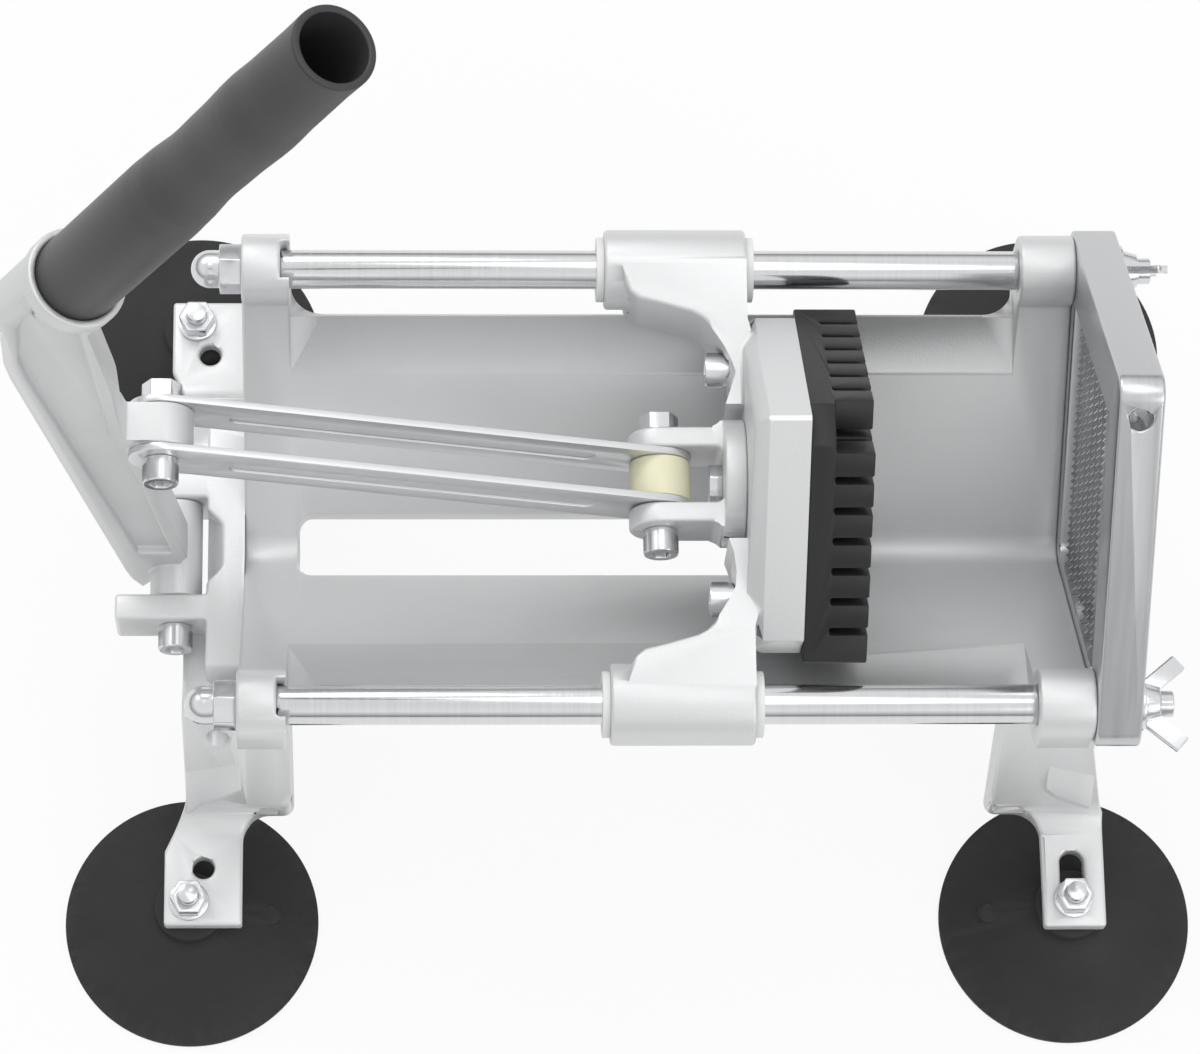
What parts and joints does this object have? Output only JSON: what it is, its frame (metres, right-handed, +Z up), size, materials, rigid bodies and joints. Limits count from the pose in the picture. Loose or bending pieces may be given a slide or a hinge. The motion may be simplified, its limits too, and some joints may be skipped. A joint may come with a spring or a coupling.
{
  "type": "tomato slicer",
  "caption": "Horizontal lever-worked food slicer: a lever pushes a pinned pusher along guide rods through a crossed blade cartridge, on suction feet.",
  "frame": {"origin": "on the bench, midway between the four suction feet", "axes": "+X along the guide rods from the lever towards the blades, +Y to the far side, +Z up"},
  "size_m": [0.4618, 0.35, 0.5773],
  "materials": {
    "cast_aluminium": "fine sand-blasted casting",
    "polished_rod": "ground and polished",
    "zinc_fastener": "bright zinc",
    "stainless_frame": "brushed",
    "blade_steel": "ground, toothed edge",
    "link_steel": "pressed, satin",
    "grip_plastic": "satin charcoal",
    "pusher_plastic": "satin black",
    "rubber": "matte, slightly dusty",
    "cream_nylon": "cream, smooth",
    "white_nylon": "smooth",
    "bronze": "sintered"
  },
  "bodies": {
    "frame": {"trough_body": "cast_aluminium", "rear_leg_frame": "cast_aluminium", "front_leg_frame": "cast_aluminium", "leg_frame_bolts": "zinc_fastener", "guide_rod_near": "polished_rod", "guide_rod_far": "polished_rod", "acorn_nuts": "zinc_fastener", "blade_frame": "stainless_frame", "blades_front_set": "blade_steel", "blades_rear_set": "blade_steel", "blade_retaining_rods": "blade_steel", "suction_cup_rear_near": "rubber", "suction_cup_rear_far": "rubber", "suction_cup_front_near": "rubber", "suction_cup_front_far": "rubber", "foot_studs": "zinc_fastener", "foot_nuts": "zinc_fastener", "foot_washers": "zinc_fastener", "pivot_bolt": "zinc_fastener", "pivot_bolt_nut": "zinc_fastener", "wing_nut_washers": "zinc_fastener"},
    "lever": {"lever_arm": "cast_aluminium", "lever_grip": "grip_plastic", "pivot_bush": "bronze", "link_eye_bush": "bronze"},
    "links": {"link_near": "link_steel", "link_far": "link_steel", "link_bolt": "zinc_fastener", "link_bolt_nut": "zinc_fastener"},
    "pusher": {"pusher_carriage": "cast_aluminium", "rod_bushes_near": "white_nylon", "rod_bushes_far": "white_nylon", "pusher_block": "pusher_plastic", "pusher_screws": "zinc_fastener", "clevis": "cast_aluminium", "clevis_bolt": "zinc_fastener", "clevis_bolt_nut": "zinc_fastener", "clevis_screw": "zinc_fastener", "link_spacer": "cream_nylon"},
    "wing_nut_near": {"wing_nut_near": "zinc_fastener"},
    "wing_nut_far": {"wing_nut_far": "zinc_fastener"}
  },
  "joints": [
    {"name": "lever_pivot", "type": "hinge", "parent": "frame", "child": "lever", "pos_m": [-0.181, 0, 0.099], "axis": [0, 1, 0], "range_deg": [-50, 45]},
    {"name": "link_swing", "type": "hinge", "parent": "lever", "child": "links", "pos_m": [-0.181, 0, 0.2355], "axis": [0, 1, 0], "range_deg": [-46, 51]},
    {"name": "pusher_slide", "type": "slide", "parent": "frame", "child": "pusher", "axis": [1, 0, 0], "range_m": [-0.11, 0.099]},
    {"name": "wing_nut_near_turn", "type": "hinge", "parent": "frame", "child": "wing_nut_near", "pos_m": [0.19, -0.088, 0.18], "axis": [1, 0, 0], "continuous": true},
    {"name": "wing_nut_far_turn", "type": "hinge", "parent": "frame", "child": "wing_nut_far", "pos_m": [0.19, 0.088, 0.18], "axis": [1, 0, 0], "continuous": true}
  ],
  "couplings": [
    {"joint": "link_swing", "follows": "lever_pivot", "ratio": -1},
    {"joint": "pusher_slide", "follows": "lever_pivot", "m_per_rad": 0.124}
  ]
}
